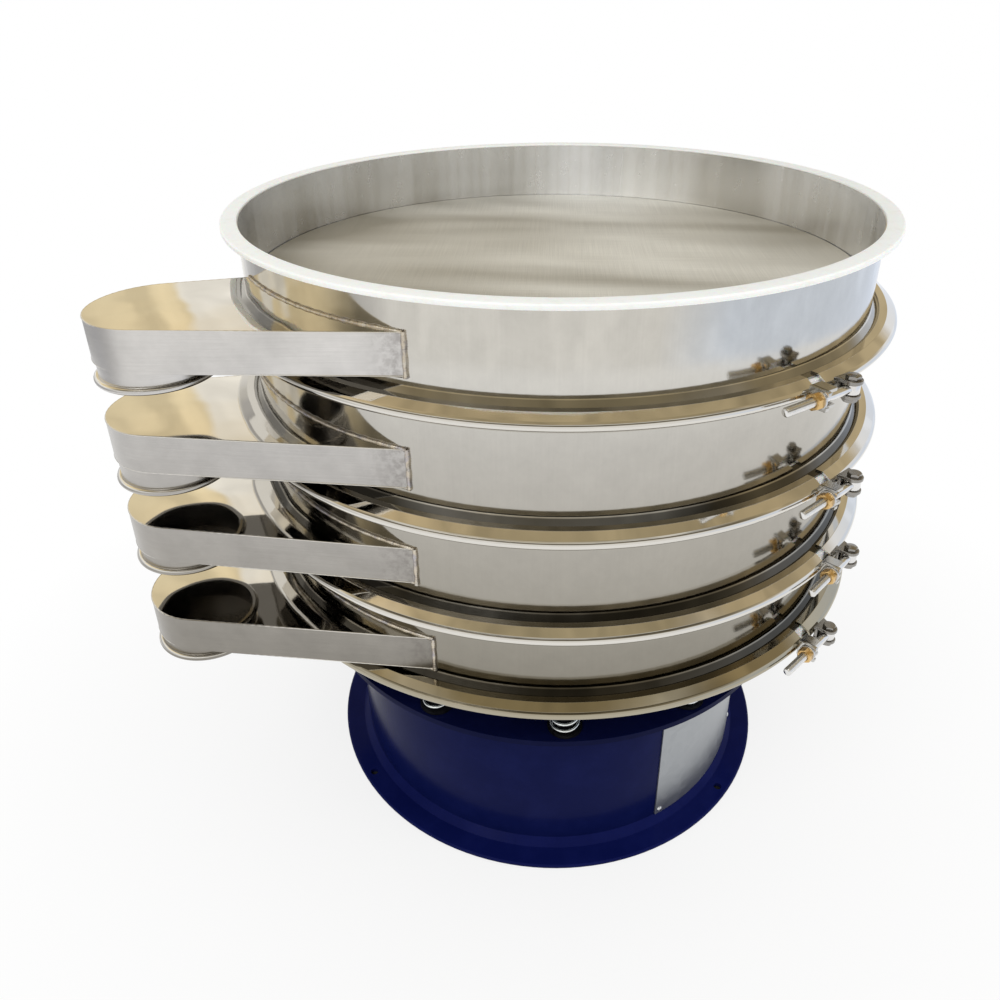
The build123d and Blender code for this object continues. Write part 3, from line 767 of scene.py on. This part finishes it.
def make_eye_bolt(deck):
    """Barrel on the cross bolt and a rod whose outer part is threaded."""
    bore = PIN_R + PLAY
    bm = bmesh.new()
    lathe(bm, rounded([(bore, -EYE_HALF, 0.4 * MM), (EYE_R, -EYE_HALF, 1.2 * MM), (EYE_R, EYE_HALF, 1.2 * MM),
                       (bore, EYE_HALF, 0.4 * MM)], 4), steps=40)
    rod = bmesh.new()
    skin(rod, rod_rows())
    lay_along_y(rod)
    merge(bm, rod)
    bmesh.ops.translate(bm, verts=bm.verts, vec=(LATCH_R, PIN_ASIDE, 0))
    add_piece(f"threaded_eye_{deck}", bm, thread_zinc, f"latch_{deck}", at_latch(deck),
              sharp=50.0, replaced=f"eye_bolt_{deck}")


def make_washer_and_nut(deck):
    """Both lie on the rod, against the saddle's face."""
    bore, seat = ROD_R + PLAY, -SADDLE_HALF[0]
    bm = bmesh.new()
    lathe(bm, rounded([(bore, 0, 0), (WASHER_R, 0, 0.5 * MM), (WASHER_R, WASHER_T, 0.5 * MM),
                       (bore, WASHER_T, 0)], 3), steps=48)
    lay_along_y(bm, (LATCH_R, seat, 0))
    add_piece(f"flat_washer_{deck}", bm, zinc, f"nut_{deck}", at_latch(deck),
              replaced=f"latch_washer_{deck}")
    bm = bmesh.new()
    hex_piece(bm, NUT_FLATS, 0.0, NUT_HEIGHT, hole=bore)
    lay_along_y(bm, (LATCH_R, seat - WASHER_T, 0))
    add_piece(f"brass_nut_{deck}", bm, brass, f"nut_{deck}", at_latch(deck),
              replaced=f"latch_nut_{deck}")


# ---- Outlets: collar with a rolled bead, and the welds and seams of each spout
COLLAR_BEAD, COLLAR_T = 5 * MM, 2.5 * MM
BEAD_PITCH, SEAM_PITCH = 1.3 * MM, 3 * MM  # between the points that a weld or seam is drawn through
END_R = 87 * MM     # the chute's round end
ON_WALL = 0.4 * MM  # a CAD point this near to the drum's outside lies on it


def make_collar(deck):
    """Short pipe whose free edge is rolled out, and the weld round its top."""
    low, high = low_of(f"outlet_collar_{deck}"), high_of(f"outlet_collar_{deck}")
    centre = Vector(((low[0] + high[0]) / 2, (low[1] + high[1]) / 2, 0))
    bottom, top, bead = low[2], high[2], COLLAR_BEAD
    pipe = (high[0] - low[0]) / 2 - bead
    bore = pipe - COLLAR_T
    roll = [(pipe + bead * (0.35 + 0.95 * cos(a)), bottom + bead * (1 + 0.98 * sin(a)))
            for a in stepped(-0.62 * pi, 0.62 * pi, 14)]
    outline = [(bore, bottom + 0.4 * MM), (bore + 0.5 * MM, bottom), *roll, (pipe, bottom + 2.4 * bead),
               (pipe, top), (bore, top)]
    bm = bmesh.new()
    lathe(bm, outline, steps=120)
    bmesh.ops.translate(bm, verts=bm.verts, vec=centre)
    add_piece(f"rolled_collar_{deck}", bm, spouts, "sieve_stack",
              replaced=f"outlet_collar_{deck}")
    bm = bmesh.new()
    ring = [centre + polar(pipe, a, top) for a in stepped(0.0, 2 * pi, 180)[:-1]]
    sweep(bm, ring, lambda i: (1.5 + 0.25 * sin(i * 2.1)) * MM, 8, closed=True)
    add_piece(f"collar_weld_{deck}", bm, weld_metal, "sieve_stack")


def spout_corners(deck):
    """Azimuths of the chute's front and back corner at the drum, from the CAD mesh."""
    points = [v.co for v in nodes[f"spout_{deck}"].data.vertices]
    azimuths = [atan2(p.y, p.x) for p in points if abs(sqrt(p.x ** 2 + p.y ** 2) - WALL_R) < ON_WALL]
    return max(azimuths), min(azimuths)


def spout_end(deck, z):
    """Centre of the chute's round end, behind the CAD mesh's farthest point."""
    points = [v.co for v in nodes[f"spout_{deck}"].data.vertices]
    tip = max(points, key=lambda p: p.x ** 2 + p.y ** 2)
    return polar(sqrt(tip.x ** 2 + tip.y ** 2) - END_R, atan2(tip.y, tip.x), z)


def spout_levels(deck):
    """Heights of the chute's underside and top."""
    return low_of(f"spout_{deck}")[2], high_of(f"spout_{deck}")[2]


def bead_path(start, end, pitch):
    """Points from start to end, about a pitch apart."""
    count = max(2, int((end - start).length / pitch))
    return [start.lerp(end, share) for share in stepped(0.0, 1.0, count)]


def ripple(size, seed):
    """Radius of a hand-laid bead: fine ripples over slow swells."""
    return lambda i: size * (1 + 0.13 * sin(2.4 * i + seed) + 0.1 * sin(0.37 * i + 2 * seed))


def make_spout_welds(deck):
    """Beads where the chute meets the drum: along its top and bottom plate and up its two corners."""
    front, back = spout_corners(deck)
    low, high = spout_levels(deck)
    bm = bmesh.new()
    count = int(WALL_R * (front - back) / BEAD_PITCH)
    for z, size in ((high, 2.9 * MM), (low, 2.2 * MM)):
        arc = [polar(WALL_R + 0.6 * MM, a, z) for a in stepped(back, front, count)]
        sweep(bm, arc, ripple(size, deck + z), 8)
    for corner, size in ((front, 3.1 * MM), (back, 2.6 * MM)):
        foot, head = (polar(WALL_R + 1.2 * MM, corner, z) for z in (low - 1 * MM, high + 1 * MM))
        sweep(bm, bead_path(foot, head, BEAD_PITCH), ripple(size, 3 * deck + corner), 8)
    add_piece(f"spout_weld_{deck}", bm, weld_metal, "sieve_stack", sharp=60.0)


def spout_edge(deck, z, inset):
    """Outline of the chute in plan, from the front corner round the end to the back corner."""
    centre = spout_end(deck, z)
    corners = [polar(WALL_R, azimuth, z) for azimuth in spout_corners(deck)]
    turns = []
    for corner, side in zip(corners, (-1, 1)):
        away = corner - centre
        turns.append(atan2(away.y, away.x) + side * (pi / 2 - asin(END_R / away.length)))
    start, end = turns
    while end > start:
        end -= 2 * pi
    arc = [centre + polar(END_R - inset, a) for a in stepped(start, end, 90)]
    there, back = bead_path(corners[0], arc[0], SEAM_PITCH), bead_path(arc[-1], corners[1], SEAM_PITCH)
    return there[:-1] + arc + back[1:]


def make_spout_seams(deck):
    """Fine dressed seams where the side sheet meets the top and bottom plates."""
    low, high = spout_levels(deck)
    bm = bmesh.new()
    for z in (high - 0.7 * MM, low + 0.7 * MM):
        sweep(bm, spout_edge(deck, z, 0.4 * MM), lambda i: (0.95 + 0.07 * sin(i * 1.7)) * MM, 8)
    add_piece(f"spout_seam_{deck}", bm, polished, "sieve_stack", sharp=60.0)


# ---- Springs: smooth round coils whose pitch tightens towards both ends
COIL_R, WIRE_R, COIL_TURNS, COIL_STEPS = 21 * MM, 2.3 * MM, 6.0, 150
COIL_START = -0.62 * pi  # where the wire's lower end lies round the coil
SEAT_SINK = 0.6 * MM     # of the end turns in their seats
SPRINGS, SPRING_PHASE = 12, radians(-85.6)
SPRING_CIRCLE_R = high_of("base_plate")[0] - 32 * MM


def make_springs():
    """All springs as one piece that stretches between the base and the stack."""
    low, high = low_of("springs")[2] - SEAT_SINK, high_of("springs")[2] + SEAT_SINK
    start, end = low + WIRE_R, high - WIRE_R
    path = []
    for share in stepped(0.0, 1.0, COIL_STEPS):
        climb = 0.75 * share + 0.25 * (0.5 - 0.5 * cos(pi * share))
        path.append(polar(COIL_R, COIL_START + 2 * pi * COIL_TURNS * share, start + (end - start) * climb))
    bm = bmesh.new()
    for k in range(SPRINGS):
        azimuth = SPRING_PHASE + 2 * pi * k / SPRINGS
        centre, turn = polar(SPRING_CIRCLE_R, azimuth), Matrix.Rotation(azimuth, 3, "Z")
        sweep(bm, [centre + turn @ p for p in path], WIRE_R)
    piece = add_piece("coil_springs", bm, spring_zinc, None, replaced="springs")
    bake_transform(piece)


# ---- Cover screws: domed heads with a round drive recess
SCREW_R, SCREW_DOME = 5.5 * MM, 3 * MM
RECESS_R, RECESS_FLOOR_R, RECESS_Z = 1.8 * MM, 1.5 * MM, 0.5 * SCREW_DOME
SHANK_R, SHANK_DEPTH = 3 * MM, 8 * MM


def make_cover_screws():
    low, high = low_of("cover_screws"), high_of("cover_screws")
    points = [v.co.copy() for v in nodes["cover_screws"].data.vertices]
    out = max(sqrt(p.x ** 2 + p.y ** 2) for p in points)
    azimuths = [atan2(p.y, p.x) for p in points]
    swing = SCREW_R / out
    dome = [(SCREW_R * cos(a), SCREW_DOME * sin(a)) for a in stepped(0.0, pi / 2, 8)[:-1]]
    recess = [(RECESS_R, 0.97 * SCREW_DOME), (RECESS_FLOOR_R, RECESS_Z), (AXIS_R, RECESS_Z)]
    shank = [(AXIS_R, -SHANK_DEPTH), (SHANK_R, -SHANK_DEPTH), (SHANK_R, 0)]
    bm = bmesh.new()
    for azimuth in (min(azimuths) + swing, max(azimuths) - swing):
        for z in (low[2] + SCREW_R, high[2] - SCREW_R):
            screw = bmesh.new()
            lathe(screw, dome + recess + shank, steps=24)
            turn = Matrix.Rotation(azimuth, 4, "Z") @ Matrix.Translation((out - SCREW_DOME, 0, z))
            bmesh.ops.transform(screw, matrix=turn @ Matrix.Rotation(pi / 2, 4, "Y"), verts=screw.verts)
            merge(bm, screw)
    add_piece("domed_screws", bm, zinc, "base", replaced="cover_screws")


make_rim_gasket()
for deck in DECKS:
    make_band(deck)
    make_saddle(deck)
    make_yoke(deck)
    make_pin(deck)
    make_eye_bolt(deck)
    make_washer_and_nut(deck)
    make_collar(deck)
    make_spout_welds(deck)
    make_spout_seams(deck)
make_springs()
make_cover_screws()
for name in ("base_plate", "service_cover", "terminal_box", "motor_housing", "lower_spring_seats",
             "upper_spring_seats"):
    soften(nodes[name], 0.8 * MM)

# ---- Floor, light and surroundings
WORLD_LIGHT, WORLD_STRENGTH = (0.97, 0.985, 1.0, 1.0), 0.62
WHITE = (1.0, 1.0, 1.0, 1.0)
FLOOR_SIZE, FLOOR_Z = 30.0, -0.5 * MM
LAMP_AIM = Vector((0, 0, 0.6))


def seen_rays(tree):
    """1 for rays of the camera and for those that mirrors and glass send on, 0 for the rest."""
    node = tree.nodes.new("ShaderNodeLightPath")
    total = node.outputs["Is Camera Ray"]
    for ray in ("Is Glossy Ray", "Is Transmission Ray"):
        most = tree.nodes.new("ShaderNodeMath")
        most.operation = "MAXIMUM"
        tree.links.new(total, most.inputs[0])
        tree.links.new(node.outputs[ray], most.inputs[1])
        total = most.outputs[0]
    return total


def make_world():
    """White where it is seen, and a softer, faintly blue light on everything else."""
    world = bpy.data.worlds.new("world")
    bpy.context.scene.world = world
    world.use_nodes = True
    tree = world.node_tree
    lit, seen = tree.nodes["Background"], tree.nodes.new("ShaderNodeBackground")
    for node, colour, strength in ((lit, WORLD_LIGHT, WORLD_STRENGTH), (seen, WHITE, 1.0)):
        node.inputs["Color"].default_value = colour
        node.inputs["Strength"].default_value = strength
    mix = tree.nodes.new("ShaderNodeMixShader")
    tree.links.new(seen_rays(tree), mix.inputs[0])
    tree.links.new(lit.outputs[0], mix.inputs[1])
    tree.links.new(seen.outputs[0], mix.inputs[2])
    tree.links.new(mix.outputs[0], tree.nodes["World Output"].inputs["Surface"])


def make_floor():
    """Floor that shows white with the object's shadow, a little darker near it, with painted shade beneath
    it.
    """
    bpy.ops.mesh.primitive_plane_add(size=FLOOR_SIZE, location=(0, 0, FLOOR_Z))
    floor = bpy.context.object
    floor.name = "floor"
    s = Shader("floor", roughness=0.9, specular_ior_level=0.0)
    away = s.add("VectorMath", {0: s.place()}, operation="LENGTH").outputs["Value"]
    open_floor = s.spread(away, (FOOT_R - 6 * MM, FOOT_R - 3 * MM), (0.0, 1.0))
    white = s.times(seen_rays(s.tree), open_floor, s.spread(away, (0.4, 1.3), (0.78, 1.0)))
    # Painted shade: the floor under the foot is near-black.
    s.set(base_color=s.blend(open_floor, (0.03, 0.03, 0.03), (0.86, 0.85, 0.83)))
    glow = s.add("Emission", {"Color": (1.0, 1.0, 1.0), "Strength": 1.0})
    mix = s.add("MixShader", {0: white, 1: s.main.outputs[0], 2: glow.outputs[0]})
    floor.data.materials.append(s.show(mix))


# The dome's tones, at heights that are shares of its radius: a pale screen, timber above it and the
# ceiling. They differ to the left and right, and in front of the machine, on the camera's side.
ROOM_R, ROOM_FLOOR = 1.85, 0.30
CEILING = (0.44, 0.366, 0.226)
DARK_BEAM = (0.12, 0.105, 0.075)
LEFT_TONES = ((0.0, (0.92, 0.92, 0.92)), (0.62, (0.98, 0.98, 1.0)), (0.68, (0.96, 0.83, 0.56)),
              (0.84, (0.74, 0.58, 0.34)), (1.0, CEILING))
RIGHT_TONES = ((0.0, (0.92, 0.92, 0.92)), (0.61, (0.97, 0.97, 0.98)), (0.67, (0.56, 0.46, 0.29)),
               (0.84, (0.46, 0.37, 0.22)), (1.0, CEILING))
FRONT_TONES = ((0.0, (0.93, 0.92, 0.90)), (0.60, (0.88, 0.87, 0.85)), (0.68, (0.34, 0.30, 0.22)),
               (0.74, DARK_BEAM), (0.775, DARK_BEAM), (0.82, (0.75, 0.73, 0.68)),
               (0.87, CEILING), (1.0, CEILING))


def room_look():
    """The tones with bright panes on the left, daylight low on the right and dusk low on the far left."""
    s = Shader("room")
    p = s.place()
    x, y, z = s.split(p)
    wobble = s.times(s.minus(s.noise(p, scale=1.2, detail=3.0), 0.5), 0.12)
    height = s.math("DIVIDE", s.plus(z, wobble), ROOM_R)
    left, right, front = (s.ramp(height, tones) for tones in (LEFT_TONES, RIGHT_TONES, FRONT_TONES))
    panes = s.spread(s.noise(p, scale=1.7, detail=2.0, distort=0.8), (0.44, 0.48), (0.8, 0.0))
    panes = s.times(panes, s.spread(height, (0.74, 0.84), (1.0, 0.0)))
    left = s.blend(panes, left, (0.99, 0.98, 0.95))
    shown = s.blend(s.spread(x, (-0.1, 0.5), (0.0, 1.0)), left, right)
    shown = s.blend(s.spread(y, (-0.75, -0.45), (1.0, 0.0)), shown, front)
    low_down = s.spread(z, (0.9, 1.2), (1.0, 0.0))
    cool = s.times(s.spread(x, (0.9, 1.4), (0.0, 1.0)), low_down)
    shown = s.blend(cool, shown, (0.80, 0.87, 1.0))
    dapple = s.spread(s.noise(p, scale=3.5, detail=3.0, distort=1.2), (0.38, 0.62), (0.78, 1.1))
    dapple = s.most(dapple, s.spread(height, (0.62, 0.70), (1.0, 0.0)))
    shown = s.tinted(shown, s.join(dapple, dapple, dapple))
    dusk = s.times(s.spread(x, (-1.65, -1.25), (0.55, 0.0)), low_down)
    shown = s.blend(dusk, shown, (0.10, 0.10, 0.11))
    return s.show(s.add("Emission", {"Color": shown, "Strength": 1.0}))


def make_room():
    """Dome that only reflections see: a pale screen round the machine, warm timber tones above it."""
    bm = bmesh.new()
    bmesh.ops.create_uvsphere(bm, u_segments=64, v_segments=48, radius=ROOM_R)
    low = [v for v in bm.verts if v.co.z < ROOM_FLOOR]
    bmesh.ops.delete(bm, geom=low, context="VERTS")
    mesh = bpy.data.meshes.new("room")
    bm.to_mesh(mesh)
    bm.free()
    mesh.shade_smooth()
    mesh.materials.append(room_look())
    room = bpy.data.objects.new("room", mesh)
    bpy.context.scene.collection.objects.link(room)
    for ray in ("camera", "diffuse", "transmission", "shadow", "volume_scatter"):
        setattr(room, "visible_" + ray, False)


def make_lamp(name, at, size, power, mirrored):
    data = bpy.data.lights.new(name, "AREA")
    data.shape = "DISK"
    data.size, data.energy = size, power
    lamp = bpy.data.objects.new(name, data)
    bpy.context.scene.collection.objects.link(lamp)
    lamp.location = at
    lamp.rotation_mode = "QUATERNION"
    lamp.rotation_quaternion = (LAMP_AIM - Vector(at)).to_track_quat("-Z", "Y")
    lamp.visible_glossy = mirrored


make_world()
make_floor()
make_room()
make_lamp("key_lamp", at=(-1.8, -3.0, 3.6), size=2.2, power=70.0, mirrored=True)
make_lamp("side_lamp", at=(3.4, -0.8, 2.2), size=1.8, power=40.0, mirrored=False)

scene = bpy.context.scene
scene.view_settings.view_transform = "Standard"
